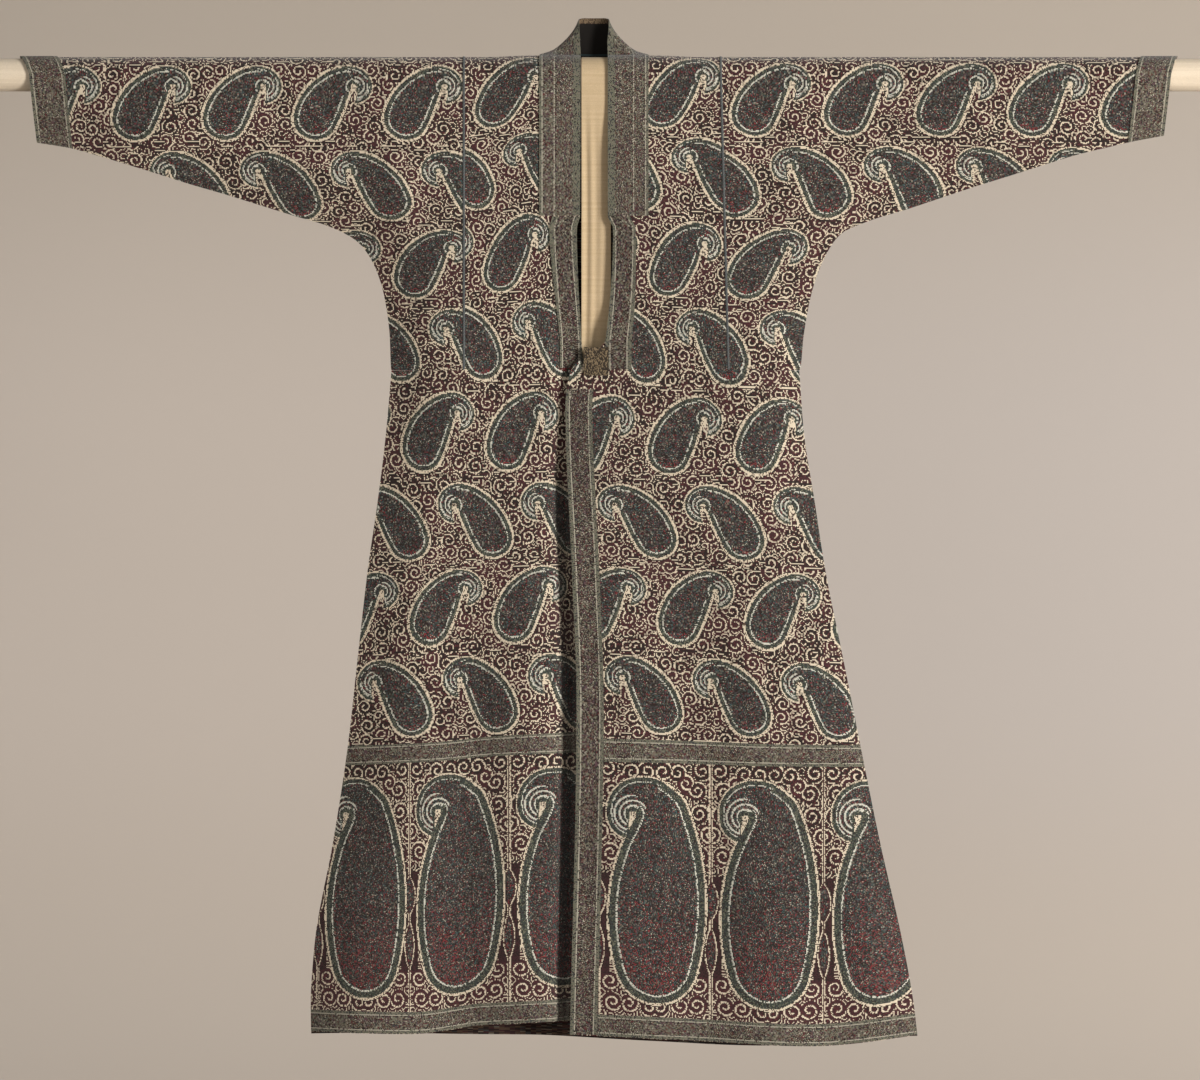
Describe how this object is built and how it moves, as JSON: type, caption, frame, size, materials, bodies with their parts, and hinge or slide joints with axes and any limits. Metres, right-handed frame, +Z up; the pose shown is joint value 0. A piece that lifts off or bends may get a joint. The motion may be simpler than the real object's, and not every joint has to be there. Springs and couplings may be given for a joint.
{
  "type": "choga robe on a hanging rod",
  "caption": "long open-fronted robe of woven paisley shawl cloth with banded neck, front, cuffs and hem, hung flat on a covered rod through both sleeves",
  "frame": {"origin": "the middle of the rod's axis, where the rod and the robe on it are held up", "axes": "+X to the wearer's left along the rod, +Y to the back of the robe, +Z up; the fronts face -Y"},
  "size_m": [1.64, 0.0726, 1.337],
  "materials": {
    "shawl_cloth": "matt twill-woven wool with a small multicoloured pattern",
    "woven_band": "matt close-woven patterned wool band",
    "rod_muslin": "matt plain-woven unbleached muslin",
    "drop_muslin": "matt plain-woven muslin strip",
    "rod_wood": "plain turned softwood"
  },
  "bodies": {
    "root": {"right_front": "shawl_cloth", "left_front": "shawl_cloth", "back": "shawl_cloth", "right_sleeve": "shawl_cloth", "left_sleeve": "shawl_cloth", "neck_band": "woven_band", "right_opening_band": "woven_band", "left_opening_band": "woven_band", "front_edge_band": "woven_band", "opening_stay": "woven_band", "right_skirt_band": "woven_band", "right_hem_band": "woven_band", "left_skirt_band": "woven_band", "left_hem_band": "woven_band", "back_skirt_band": "woven_band", "back_hem_band": "woven_band", "right_cuff": "woven_band", "left_cuff": "woven_band", "rod": "rod_wood", "rod_cover": "rod_muslin", "rod_drop": "drop_muslin"}
  },
  "joints": []
}
